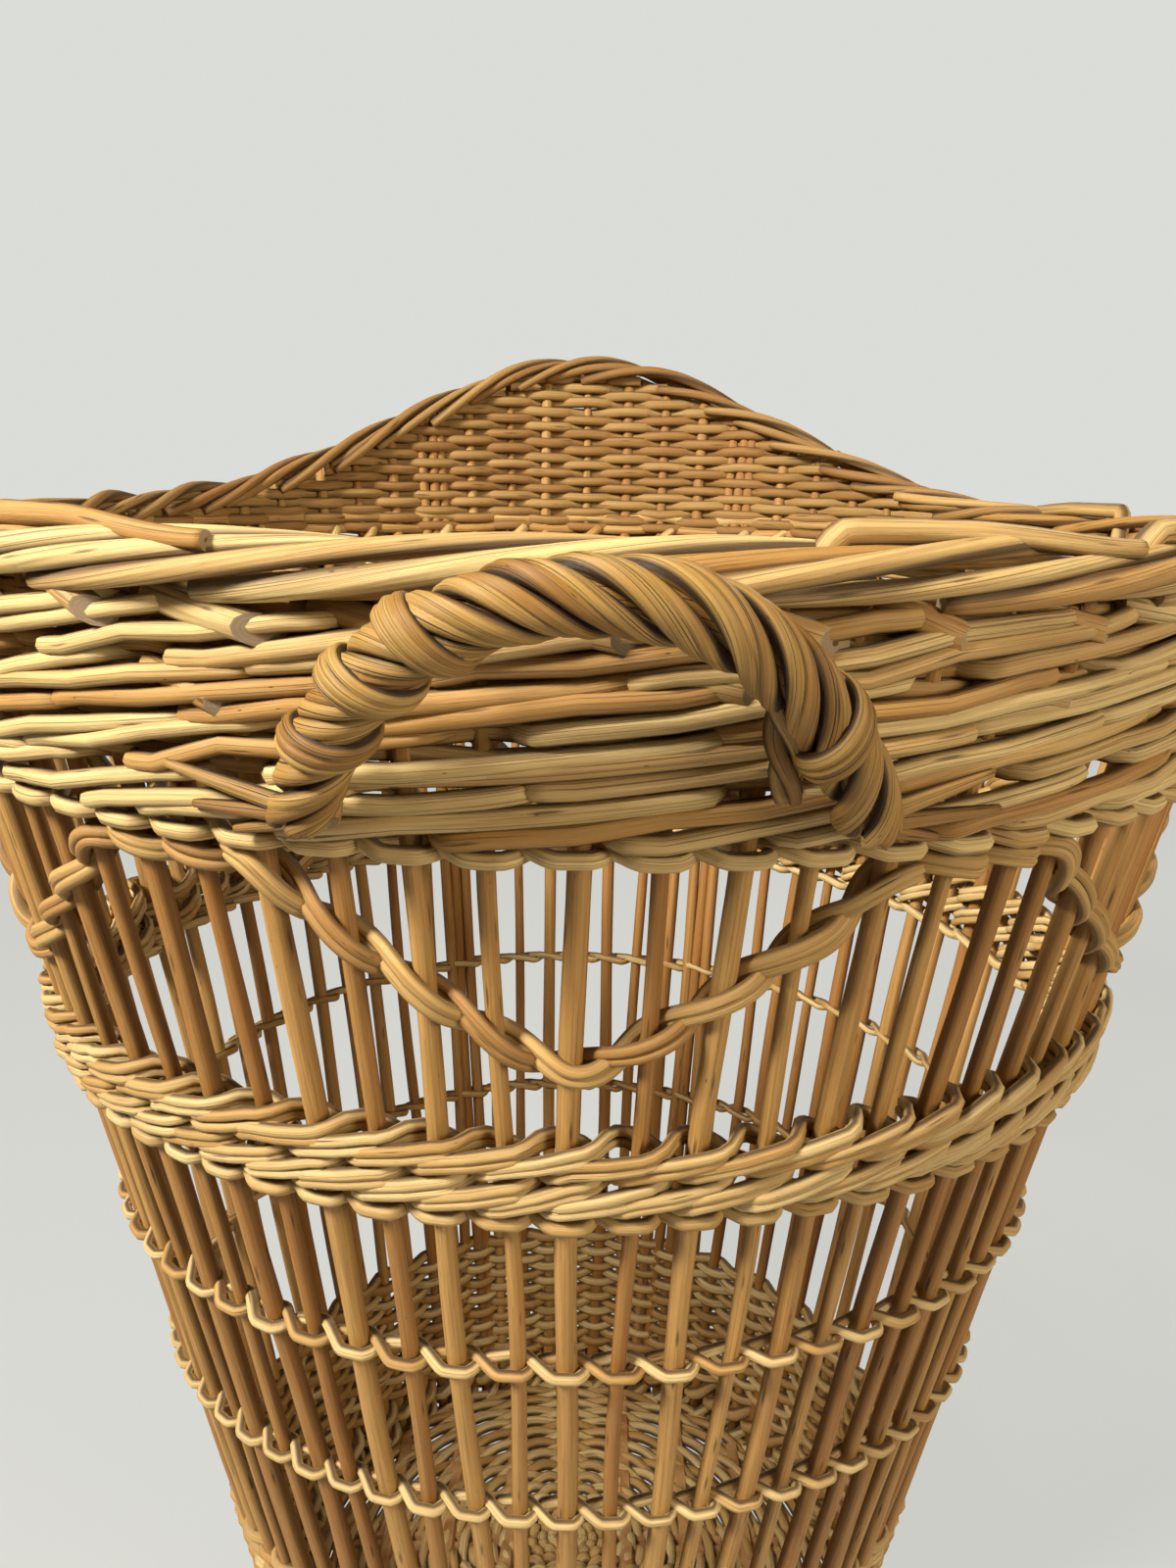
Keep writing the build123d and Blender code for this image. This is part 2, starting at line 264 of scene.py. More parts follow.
# material and body of a finished piece, and the nodes that it stands for; the slot is not used
def place(piece, skin, slot, *nodes):
    piece.data.materials.append(skins[skin])
    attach(piece, "root")
    if nodes:
        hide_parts(*nodes)
    print("made", piece.name, len(piece.data.polygons), "faces")


# a socket that takes part in sums; other nodes come from node()
class Sock:
    def __init__(self, tree, socket=None):
        self.tree = tree
        self.socket = socket

    # type, then settings, then sockets: i0, i1 and so on by number, the rest by name
    def node(self, kind, settings=None, out=0, **inputs):
        made = self.tree.nodes.new(kind)
        for key, value in (settings or {}).items():
            setattr(made, key, value)
        for key, value in inputs.items():
            numbered = key[0] == "i" and key[1:].isdigit()
            target = made.inputs[int(key[1:]) if numbered else key]
            if isinstance(value, Sock):
                self.tree.links.new(value.socket, target)
            else:
                target.default_value = value
        return Sock(self.tree, made.outputs[out])

    def maths(self, operation, other=0.0):
        return self.node("ShaderNodeMath", {"operation": operation}, i0=self, i1=other)

    def __add__(self, other):
        return self.maths("ADD", other)

    def __mul__(self, other):
        return self.maths("MULTIPLY", other)

    def __sub__(self, other):
        return self.maths("SUBTRACT", other)

    def __rsub__(self, other):
        return self * -1.0 + other

    __radd__ = __add__
    __rmul__ = __mul__

    # nought below low, one above high, eased between
    def band(self, low, high):
        settings = {"interpolation_type": "SMOOTHSTEP"}
        return self.node("ShaderNodeMapRange", settings, i0=self, i1=low, i2=high)

    # first colour at nought, second at one
    def mixed(self, first, second):
        settings = {"data_type": "RGBA"}
        return self.node("ShaderNodeMix", settings, out=2, i0=self, i6=first, i7=second)

    def joined(self, y, z):
        return self.node("ShaderNodeCombineXYZ", None, i0=self, i1=y, i2=z)


# a new material with its tree, its shader and a start for its sums
def newMaterial(name):
    material = bpy.data.materials.new(name)
    material.use_nodes = True
    tree = material.node_tree
    return material, tree, tree.nodes["Principled BSDF"], Sock(tree)


# how each kind of wood grain is laid out: cycles along the rod, cycles round it, detail, roughness
grains = {"streak": (14.0, 3.2, 4.0, 0.55), "fleck": (160.0, 5.0, 3.0, 0.55),
          "fibre": (30.0, 16.0, 5.0, 0.70), "crack": (11.0, 7.0, 1.0, 0.55)}
marks = {"toneShift": 61.0, "knotAlong": 26.0, "knotRound": 0.8, "holeAlong": 130.0, "holeRound": 1.6,
         "fibre": 0.55, "fleck": 0.35, "knot": 0.75, "hole": 0.9, "ringCount": 60.0, "specular": 0.4,
         "bump": 0.6, "bumpDepth": 0.0007, "endPale": (0.40, 0.29, 0.17, 1),
         "endBrown": (0.20, 0.13, 0.07, 1), "pith": (0.10, 0.055, 0.025, 1)}


# willow: streaks run along the rod, patches shift it from straw to brown, knots and bore holes are dark,
# the sides where rods meet carry painted shade, and a cut end shows pale wood in rings round a brown pith
def willow(name, look):
    material, tree, shader, start = newMaterial(name)
    uv = start.node("ShaderNodeUVMap", {"uv_map": "rodUv"})
    split = tree.nodes.new("ShaderNodeSeparateXYZ")
    tree.links.new(uv.socket, split.inputs[0])
    u = Sock(tree, split.outputs[0])
    v = Sock(tree, split.outputs[1])
    tone = start.node("ShaderNodeAttribute", {"attribute_name": "rodTone"}, out=2)
    cut = start.node("ShaderNodeAttribute", {"attribute_name": "cutEnd"}, out=2)
    angle = v * (2 * math.pi)
    cosV = angle.maths("COSINE")
    sinV = angle.maths("SINE")
    shift = tone * marks["toneShift"]

    def onRod(alongScale, roundScale):
        return (u * alongScale + shift).joined(cosV * roundScale, sinV * roundScale)

    def grain(alongScale, roundScale, detail, rough):
        inputs = {"Vector": onRod(alongScale, roundScale), "Scale": 1.0, "Detail": detail, "Roughness": rough}
        return start.node("ShaderNodeTexNoise", None, **inputs)

    def spots(alongScale, roundScale, size):
        vector = onRod(alongScale, roundScale)
        cells = start.node("ShaderNodeTexVoronoi", None, Vector=vector, Scale=1.0, Randomness=1.0)
        return 1.0 - cells.band(0.05, size)

    streak = grain(*grains["streak"])
    patch = grain(look["patchScale"], 0.7, 2.0, 0.55)
    fleck = grain(*grains["fleck"])
    fibre = grain(*grains["fibre"])
    knot = spots(marks["knotAlong"], marks["knotRound"], 0.17)
    hole = spots(marks["holeAlong"], marks["holeRound"], 0.13) * patch.band(0.56, 0.62)
    # painted shade: the upper and lower sides of each rod, where it meets its neighbours, go towards the dark
    # colour
    paintedCreaseShade = (1.0 - cosV.maths("ABSOLUTE")).band(0.22, 0.86)
    crack = grain(*grains["crack"]).band(0.615, 0.655) * look["crack"]

    colour = (patch * 0.75 + tone * 0.75 - 0.25).band(0.12, 0.88).mixed(look["pale"], look["warm"])
    colour = (fibre.band(0.46, 0.72) * marks["fibre"]).mixed(colour, look["brown"])
    colour = (streak.band(0.42, 0.75) * look["streak"]).mixed(colour, look["brown"])
    colour = (fleck.band(0.60, 0.78) * marks["fleck"]).mixed(colour, look["brown"])
    # painted shade along the sides of the rods
    colour = (paintedCreaseShade * look["paintedCreaseShade"]).mixed(colour, look["dark"])
    colour = crack.mixed(colour, look["dark"])
    colour = (knot * marks["knot"]).mixed(colour, look["dark"])
    colour = (hole * marks["hole"]).mixed(colour, look["dark"])

    fromMiddle = (u - 0.5) * (u - 0.5) + (v - 0.5) * (v - 0.5)
    rings = (fromMiddle.maths("SQRT") * marks["ringCount"] + streak * 3.0).maths("SINE").band(-1.0, 1.0)
    endWood = (rings * 0.25 + fibre * 0.3).mixed(marks["endPale"], marks["endBrown"])
    endWood = (1.0 - fromMiddle.band(0.003, 0.02)).mixed(endWood, marks["pith"])
    colour = cut.mixed(colour, endWood)

    rough = streak * 0.25 + fibre * 0.25 + look["rough"]
    height = streak * 0.5 + fibre * 0.5 + fleck * 0.25 - knot * 0.6 - hole * 0.8 - crack
    depth = marks["bumpDepth"]
    bump = start.node("ShaderNodeBump", None, Strength=marks["bump"], Distance=depth, Height=height)
    shader.inputs["Specular IOR Level"].default_value = marks["specular"]
    tree.links.new(colour.socket, shader.inputs["Base Color"])
    tree.links.new(rough.socket, shader.inputs["Roughness"])
    tree.links.new(bump.socket, shader.inputs["Normal"])
    return material


# each look: pale, warm and brown wood, dark for knots, holes, cracks and painted shade, how strong streaks,
# painted crease shade and cracks are, patch size and roughness
looks = {
    "stake": {"pale": (0.47, 0.27, 0.078, 1), "warm": (0.31, 0.140, 0.030, 1),
              "brown": (0.17, 0.070, 0.014, 1), "dark": (0.05, 0.022, 0.007, 1),
              "streak": 0.50, "paintedCreaseShade": 0.30, "crack": 0.15, "patchScale": 7.0, "rough": 0.34},
    "band": {"pale": (0.68, 0.515, 0.220, 1), "warm": (0.42, 0.225, 0.056, 1),
             "brown": (0.25, 0.110, 0.024, 1), "dark": (0.06, 0.028, 0.010, 1),
             "streak": 0.60, "paintedCreaseShade": 0.88, "crack": 0.60, "patchScale": 12.0, "rough": 0.32},
    "weave": {"pale": (0.64, 0.48, 0.215, 1), "warm": (0.42, 0.245, 0.070, 1),
              "brown": (0.25, 0.120, 0.030, 1), "dark": (0.06, 0.030, 0.011, 1),
              "streak": 0.55, "paintedCreaseShade": 0.88, "crack": 0.25, "patchScale": 14.0, "rough": 0.34},
    "wave": {"pale": (0.50, 0.32, 0.105, 1), "warm": (0.34, 0.175, 0.045, 1),
             "brown": (0.20, 0.088, 0.020, 1), "dark": (0.05, 0.024, 0.008, 1),
             "streak": 0.60, "paintedCreaseShade": 0.55, "crack": 0.30, "patchScale": 10.0, "rough": 0.34},
    # the hump look is a darker copy of the weave and band willow: painted shade for the back wall seen from
    # inside
    "hump": {"pale": (0.36, 0.215, 0.064, 1), "warm": (0.25, 0.120, 0.026, 1),
             "brown": (0.18, 0.080, 0.017, 1), "dark": (0.05, 0.025, 0.008, 1),
             "streak": 0.50, "paintedCreaseShade": 0.88, "crack": 0.20, "patchScale": 14.0, "rough": 0.38},
    "handle": {"pale": (0.43, 0.265, 0.070, 1), "warm": (0.28, 0.138, 0.026, 1),
               "brown": (0.16, 0.070, 0.014, 1), "dark": (0.028, 0.012, 0.004, 1),
               "streak": 0.70, "paintedCreaseShade": 0.97, "crack": 0.95, "patchScale": 22.0, "rough": 0.26},
}
skins = {key: willow(key + "Willow", look) for key, look in looks.items()}
print("materials:", ", ".join(skins))

# stakes: tapered rods, thick and thin by turns, at equal steps of the plan angle
stakes = {"thick": 0.0042, "thin": 0.0034, "tip": 0.80, "foot": 0.006, "topGap": 0.010, "sway": 0.00096,
          "swayTurns": (2.3, 3.7), "lean": 0.00032, "leanTurns": (1.7, 4.1), "lump": 0.03, "points": 26,
          "sides": 9, "seed": 11}
posts = {"at": (wall["stakes"] // 2 - 4, wall["stakes"] // 2 + 4), "shift": (-0.0064, 0.0, 0.0064),
         "rod": 0.0036, "taper": 0.1, "tones": (0.8, 0.95, 0.7), "seed": 300}


# straight up the wall to under the border, with two sine waves each along and across it
def stakePaths(rng, index, shiftAlong=0.0):
    angle = index * stakeStep
    top = rimHeight(angle) - stakes["topGap"]
    share = np.linspace(0, 1, stakes["points"])
    z = stakes["foot"] + (top[:, None] - stakes["foot"]) * share
    angles = np.broadcast_to(angle[:, None], z.shape)
    normal = wallNormal(angles, z)
    side = np.cross(upward, normal)
    phase = rng.uniform(0, 2 * np.pi, (len(index), 4))

    def waves(turns, phases):
        return sum(np.sin(share * count * np.pi + phases[:, n, None]) for n, count in enumerate(turns))

    along = waves(stakes["swayTurns"], phase[:, :2]) * stakes["sway"] + shiftAlong
    across = waves(stakes["leanTurns"], phase[:, 2:]) * stakes["lean"]
    path = wallPoint(angles, z) + side * along[..., None] + normal * across[..., None]
    return path, normal, share


# radius falls in a straight line to the tip, with slight lumps
def stakeRun(name, node, index):
    rng = np.random.default_rng(index[0] + stakes["seed"])
    path, normal, share = stakePaths(rng, index)
    radius = np.where(index % 2 == 0, stakes["thick"], stakes["thin"]) * rng.uniform(0.93, 1.07, len(index))
    radius = radius[:, None]
    lumps = 1 + stakes["lump"] * np.sin(share * 40 + radius * 9000)
    radii = radius * (1 + (stakes["tip"] - 1) * share) * lumps
    tones = toneRows(rng.random(len(index)), stakes["points"])
    place(sweepRods(name, path, radii, normal, tones, stakes["sides"]), "stake", "stake_willow", node)


# heavy posts: three rods side by side in the place of one stake
def postRods(name, node, index):
    rng = np.random.default_rng(index + posts["seed"])
    shift = np.array(posts["shift"])[:, None]
    path, normal, share = stakePaths(rng, np.full(len(shift), index), shift)
    radii = np.full(path.shape[:2], posts["rod"]) * (1 - posts["taper"] * share)
    tones = toneRows(posts["tones"], stakes["points"])
    place(sweepRods(name, path, radii, normal, tones, stakes["sides"]), "stake", "stake_willow", node)


allStakes = np.arange(wall["stakes"])
quarterOf = (np.degrees(allStakes * stakeStep) + 45) // 90 % 4
single = ~np.isin(allStakes, posts["at"])
for quarter, side in enumerate(("front", "right", "back", "left")):
    stakeRun(side + "Stakes", side + "_stakes", allStakes[single & (quarterOf == quarter)])
postRods("rightBackPost", "right_back_post", posts["at"][0])
postRods("leftBackPost", "left_back_post", posts["at"][1])

# top band: each weaver lies over four or five stakes and behind one, with level rows that close the band
bandLow, bandHigh = levels("upper_siding")
topBand = {"rounds": 4, "weavers": 3, "strokes": 12, "perStake": 7, "rod": 0.0031, "bulge": 0.0012,
           "looseZ": 0.0008, "looseOut": 0.0005, "strokesPerRod": 3, "taper": 0.24, "bend": 0.34, "lag": 1.3,
           "stray": 0.3, "dive": (0.10, 0.62), "packFrom": 0.017, "packPast": 0.006, "packPitch": 0.0062,
           "packRod": 0.0031, "packSwing": 0.0012, "sides": 9, "seed": 3}


# stakes that one weaver goes behind: equal steps from a start of its own, to the nearest whole stake
def bandDips(rng, level, weaver):
    count = wall["stakes"]
    gap = count / topBand["strokes"]
    first = level * topBand["lag"] + weaver * gap / topBand["weavers"]
    first += rng.uniform(-topBand["stray"], topBand["stray"])
    dips = np.sort(np.round(np.arange(topBand["strokes"]) * gap + first) % count) - count / 2
    return np.concatenate([dips[-1:] - count, dips, dips[:1] + count])


# a stroke climbs one round's height from where it comes out to where it goes in, and drops back inside;
# the level rows swing by a cosine of half a turn for each stake
def bandRods():
    rng = np.random.default_rng(topBand["seed"])
    s = roundTrip(topBand["perStake"])
    angle = s * stakeStep
    roundHeight = (bandHigh - bandLow) / topBand["rounds"]
    reach = wall["stakeRadius"] + topBand["rod"]
    bend = topBand["bend"]
    perRod = topBand["strokesPerRod"]
    rows = []
    for number in range(topBand["rounds"] * topBand["weavers"]):
        level, weaver = divmod(number, topBand["weavers"])
        dips = bandDips(rng, level, weaver)
        stroke = np.searchsorted(dips, s, side="right") - 1
        before = s - dips[stroke]
        after = dips[stroke + 1] - s
        nearest = np.minimum(before, after)
        side = np.where(before < after, -1.0, 1.0)
        share = np.clip((before - bend) / (before + after - 2 * bend), 0, 1)
        climb = np.where(nearest < bend, side * 0.5 * nearest / bend, share - 0.5)
        out = reach * (2 * smooth(*topBand["dive"], nearest) - 1) + topBand["bulge"] * np.sin(np.pi * share)
        out = out + jitter(rng, s, topBand["looseOut"])
        z = bandLow + (level + 0.5 + climb) * roundHeight + jitter(rng, s, topBand["looseZ"])
        thick = 1 + topBand["taper"] * (0.40 - (stroke % perRod + share) / perRod)
        tone = (rng.random(20)[stroke // perRod] + 0.25 * rng.random(20)[stroke]) % 1.0
        rows.append(wallRow(angle, z, out, topBand["rod"] * thick, tone))
    packTop = bandHigh + topBand["packPast"]
    for row, height in enumerate(np.arange(bandLow + topBand["packFrom"], packTop, topBand["packPitch"])):
        out = topBand["packSwing"] * np.cos(np.pi * (s + row))
        path = wallPoint(angle, height + jitter(rng, s, topBand["looseZ"]), out)
        radius = np.full(s.shape, topBand["packRod"])
        tone = np.full(s.shape, 0.5 + 0.5 * rng.random())
        rows.append((path, radius, wallNormal(angle, height), tone))
    place(sweepRows("topBand", rows, topBand["sides"]), "band", "band_willow", "upper_siding")


bandRods()


# a wale weaver goes over two stakes and behind one: inside at every third stake, outside between,
# and its visible stroke climbs from where it comes out to where it goes in
def waleRods(name, wale, node):
    rng = np.random.default_rng(wale["seed"])
    s = roundTrip(wale["perStake"])
    reach = wall["stakeRadius"] + wale["rod"] * wale["reach"]
    rows = []
    for roundNumber in range(wale["rounds"]):
        for weaver in range(3):
            start = weaver + roundNumber
            phase = (s - start) % 3
            fromInside = np.abs((phase - 0.5) % 3 - 1.5)
            stroke = (phase + 1) % 3 - 1.5
            past = np.sign(stroke) * (1.5 - np.abs(stroke)) / 0.5
            climb = np.where(np.abs(stroke) <= 1, stroke, past) * wale["rod"] * wale["slant"]
            out = reach * (2 * smooth(*wale["dive"], fromInside) - 1) + wale["outward"]
            out = out + np.clip(1 - np.abs(stroke) / 1.2, 0, 1) * wale["bulge"]
            first = (start + 2) % 3 + 3 * rng.integers(0, wale["length"] // 3)
            tone, thick = pieced(rng, s, wale["length"], first, wale["taper"])
            z = wale["bottom"] + (roundNumber + 0.5) * wale["roundHeight"] + climb
            z = z + jitter(rng, s, wale["looseZ"])
            out = out + jitter(rng, s, wale["looseOut"])
            for strand in range(wale["strands"]):
                strandZ = z + (strand - (wale["strands"] - 1) / 2) * wale["strandStep"]
                if wale["strands"] > 1:
                    strandZ = strandZ + jitter(rng, s, wale["strandLoose"])
                strandTone = (tone + 0.25 * rng.random()) % 1.0
                radius = wale["rod"] * thick / wale["thin"]
                rows.append(wallRow(s * stakeStep, strandZ, out, radius, strandTone))
    place(sweepRows(name, rows, wale["sides"]), "weave", "weave_willow", node)


waistLow, waistHigh = levels("waist_wale")
waist = {"bottom": waistLow, "rounds": 2, "roundHeight": (waistHigh - waistLow) / 2, "rod": 0.0036,
         "slant": 1.40, "reach": 0.75, "outward": 0.0, "dive": (0.18, 0.80), "bulge": 0.0015, "length": 15,
         "looseZ": 0.0006, "looseOut": 0.0005, "strands": 2, "strandStep": 0.0036, "strandLoose": 0.0004,
         "taper": 0.25, "thin": 1.62, "perStake": 6, "sides": 8, "seed": 5}
waleRods("waistWale", waist, "waist_wale")

footHigh = levels("foot_wale")[1]
foot = {"bottom": 0.0012, "rounds": 2, "roundHeight": (footHigh - 0.001) / 2, "rod": 0.0038, "slant": 0.9,
        "reach": 1.0, "outward": 0.0012, "dive": (0.18, 0.80), "bulge": 0.001, "length": 18, "taper": 0.2,
        "looseZ": 0.0, "looseOut": 0.0004, "strands": 1, "strandStep": 0.0, "thin": 1.0,
        "perStake": 6, "sides": 8, "seed": 7}
waleRods("footWale", foot, "foot_wale")


# a value that goes straight between knots over two stakes and is rounded by averaging with its neighbours
def knotted(s, at, values, blur):
    shifts = np.linspace(-blur, blur, 5)
    around = (s[None] + shifts[:, None] + 1) % 2 - 1
    return np.interp(around, at, values).mean(0)


# a pairing row: two strands change places just past each stake, the one that comes forward above the
# other; it runs down across the gap, lies low over the next stake and goes in at that stake's far edge
def pairingRow(name, pair, heights, slot, skin, node):
    rng = np.random.default_rng(pair["seed"])
    s = roundTrip(pair["perStake"])
    middle = heights(s)
    slope = np.arctan(np.gradient(middle, s) / pair["stakeGap"])
    rows = []
    for strand in range(2):
        first = rng.integers(0, pair["length"] // 2) * 2 + strand - 0.9
        tone, thick = pieced(rng, s, pair["length"], first, pair["taper"])
        front = knotted(s + strand, pair["outAt"], pair["out"], pair["blur"])
        rise = knotted(s + strand, pair["liftAt"], pair["lift"], pair["blur"]) * pair["drop"]
        out = front * (wall["stakeRadius"] + pair["rod"]) * pair["reach"]
        for rod in range(pair["rods"]):
            spread = (rod - (pair["rods"] - 1) / 2) * pair["rodStep"]
            lift = spread + rise + jitter(rng, s, pair["loose"])
            angle = s * stakeStep - lift * np.sin(slope) / pair["stakeGap"] * stakeStep
            z = middle + lift * np.cos(slope)
            rodOut = out + jitter(rng, s, pair["loose"] * 0.5)
            rodTone = (tone + 0.2 * rng.random()) % 1.0
            rows.append(wallRow(angle, z, rodOut, pair["rod"] * thick / pair["thin"], rodTone))
    place(sweepRows(name, rows, pair["sides"]), skin, slot, node)


# a row at the middle of a node's height all round
def levelRow(node):
    height = sum(levels(node)) / 2
    return lambda s: np.full(s.shape, height)


fitch = {"rod": 0.0022, "drop": 0.0015, "reach": 1.0, "blur": 0.05, "perStake": 12, "length": 18,
         "outAt": (-1, -0.85, -0.28, 0.20, 0.48, 1), "out": (-0.5, -0.45, 0.95, 0.95, -0.45, -0.5),
         "liftAt": (-1, -0.75, -0.24, 0.34, 1), "lift": (0.7, 1, -1, -1, 0.7), "rods": 1, "rodStep": 0.0,
         "taper": 0.2, "thin": 1.0, "stakeGap": 0.019, "loose": 0.0003, "sides": 7, "seed": 21}
pairings = {"lowerFitch": ("lower_fitch", "weave", fitch),
            "upperFitch": ("upper_fitch", "weave", {**fitch, "seed": 22}),
            "waistPairing": ("waist_pairing", "weave", {**fitch, "rod": 0.0026, "seed": 23}),
            "bandPairing": ("band_pairing", "band", {**fitch, "rod": 0.0029, "seed": 24})}
for name, (node, skin, pair) in pairings.items():
    pairingRow(name, pair, levelRow(node), skin + "_willow", skin, node)

# wave: two pairs of rods that dip in a V four stakes wide each way, once for every eleven stakes
wave = {**fitch, "rod": 0.0033, "drop": 0.0024, "reach": 0.88, "blur": 0.20, "rods": 2, "rodStep": 0.0032,
        "thin": 1.35, "outAt": (-1, -0.70, -0.30, 0.25, 0.75, 1), "out": (-1, -0.4, 0.8, 0.9, -0.7, -1),
        "liftAt": (-1, -0.5, 0.5, 1), "lift": (0, 1, -1, 0), "taper": 0.35, "length": 22, "stakeGap": 0.023,
        "seed": 25, "dips": 6, "flank": 3.8, "soft": 0.55, "ease": 0.8, "footGap": 0.004, "topGap": 0.003}


# distance from the nearest foot, rounded as a hyperbola there and eased by a sine at the top
def waveHeight(s):
    low, high = levels("wave_fitch")
    low += wave["footGap"]
    high -= wave["topGap"]
    period = wall["stakes"] / wave["dips"]
    away = np.abs((s + period / 2) % period - period / 2)
    rounded = np.sqrt(away ** 2 + wave["soft"] ** 2) - wave["soft"]
    share = np.clip(rounded / wave["flank"], 0, 1)
    rest = 1 - wave["ease"]
    eased = wave["ease"] + rest * np.sin((share - wave["ease"]) / rest * np.pi / 2)
    return low + (high - low) * np.where(share > wave["ease"], eased, share)


pairingRow("waveFitch", wave, waveHeight, "weave_willow", "wave", "wave_fitch")

# lower siding: plain close weave, each row the other way round from the last
lowerSiding = {"bottom": footHigh + 0.003, "top": levels("lower_siding")[1], "pitch": 0.0050, "rod": 0.0035,
               "loose": 0.0004, "swing": 0.36, "taper": 0.2, "perStake": 4, "length": 22, "sides": 6,
               "seed": 31}


# level rows one pitch apart, in and out of the stakes
def sidingRods():
    rng = np.random.default_rng(lowerSiding["seed"])
    s = roundTrip(lowerSiding["perStake"])
    swing = (wall["stakeRadius"] + lowerSiding["rod"]) * lowerSiding["swing"]
    heights = np.arange(lowerSiding["bottom"], lowerSiding["top"], lowerSiding["pitch"])
    rows = []
    for row, height in enumerate(heights):
        z = height + jitter(rng, s, lowerSiding["loose"])
        first = rng.integers(0, lowerSiding["length"])
        tone, thick = pieced(rng, s, lowerSiding["length"], first, lowerSiding["taper"])
        out = plainWeave(s, row, swing)
        rows.append(wallRow(s * stakeStep, z, out, lowerSiding["rod"] * thick, tone))
    place(sweepRows("lowerSiding", rows, lowerSiding["sides"]), "weave", "weave_willow", "lower_siding")


sidingRods()

# hump siding: plain weave of thinner rods in the raised back
hump = {"pitch": 0.0047, "rod": 0.0033, "swing": 0.40, "points": 150, "loose": 0.0005, "underBorder": 0.6,
        "fine": 2001, "sides": 7, "seed": 41}


# level rows one pitch apart, each as long as the hump is wide at its height
def humpRods():
    rng = np.random.default_rng(hump["seed"])
    fine = np.linspace(np.pi / 2, 3 * np.pi / 2, hump["fine"])
    reach = rimHeight(fine) - wall["borderHeight"] * hump["underBorder"]
    low = wall["rimHeight"] - wall["borderHeight"]
    swing = (wall["stakeRadius"] + hump["rod"]) * hump["swing"]
    rows = []
    for row, height in enumerate(np.arange(low, reach.max() - hump["rod"], hump["pitch"])):
        inside = fine[reach > height]
        angle = np.linspace(inside[0], inside[-1], hump["points"])
        s = angle / stakeStep
        z = height + jitter(rng, s, hump["loose"])
        radius = np.full(hump["points"], hump["rod"] * rng.uniform(0.92, 1.08))
        tone = np.full(hump["points"], rng.random())
        rows.append(wallRow(angle, z, plainWeave(s, row, swing), radius, tone))
    # the hump look, darker than the weave willow of this slot, is painted shade
    place(sweepRows("humpSiding", rows, hump["sides"], closed=False), "hump", "weave_willow", "hump_siding")


humpRods()

# border: rods laid over the rim to the right, in two layers
border = {"frontTurn": (-0.42 * math.pi, math.pi), "humpTurn": (-0.5 * math.pi, 1.22 * math.pi),
          "frontSpan": 9.0, "frontStep": 2.0, "humpSpan": 5.4, "humpStep": 1.1, "stray": 0.30, "rod": 0.0032,
          "layer": 0.0026, "proud": (-0.0006, 0.0012), "butt": 1.08, "taper": 0.24, "points": 40, "sides": 10,
          "seed": 51}


# part of a turn round the roll, from low outside over the top to low inside, while the rod runs along the rim
def borderRods(name, node, centres, span, turns, skin):
    rng = np.random.default_rng(border["seed"] + len(centres))
    each = (len(centres), 1)
    centres = centres + rng.uniform(-border["stray"], border["stray"], len(centres))
    share = np.linspace(0, 1, border["points"])
    s = centres[:, None] + span * (share - 0.5) * rng.uniform(0.9, 1.12, each)
    angle = (s + rng.uniform(-0.2, 0.2, each)) * stakeStep
    turn = turns[0] + (turns[1] - turns[0]) * share + rng.uniform(-0.12, 0.12, each)
    rod = border["rod"] * rng.uniform(0.88, 1.10, each) * (border["butt"] - border["taper"] * share)
    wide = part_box("front_border")[1][0] - wall["rimHalfWidth"]
    high = wall["borderHeight"] / 2
    inner = (np.arange(len(centres)) % 2 * border["layer"])[:, None]
    proud = rng.uniform(*border["proud"], each) - inner
    across = (wide - rod + proud) * np.cos(turn)
    normal = wallNormal(angle, wall["rimHeight"])
    path = wallPoint(angle, rimHeight(angle)) + normal * across[..., None]
    path[..., 2] += (high - rod + proud) * np.sin(turn) - high
    refs = normal * np.cos(turn)[..., None] + upward * np.sin(turn)[..., None]
    tones = toneRows(rng.random(len(centres)), border["points"])
    place(sweepRods(name, path, rod, refs, tones, border["sides"]), skin, "band_willow", node)


# places where the rim stands above its level part
def onHump(s):
    return rimHeight(s * stakeStep) > wall["rimHeight"] + 0.0005


frontCentres = spreadCentres(border["frontStep"])
humpCentres = spreadCentres(border["humpStep"])
borderRods("frontBorder", "front_border", frontCentres[~onHump(frontCentres)], border["frontSpan"],
           border["frontTurn"], "band")
# the hump border takes the darker hump look: painted shade
borderRods("humpBorder", "hump_border", humpCentres[onHump(humpCentres)], border["humpSpan"],
           border["humpTurn"], "hump")

# butt ends: short thick rods that come out between two stakes and stop with a slanted cut
butts = {"length": 0.034, "rod": 0.0042, "underBorder": 36, "inBand": 18, "below": 0.0225, "bevel": 1.2,
         "bandMargin": (0.012, 0.014), "out": 0.002, "rise": 0.0078, "bandRadius": 0.235,
         "tilt": (0.15, 0.42), "points": 3, "sides": 12, "seed": 61}


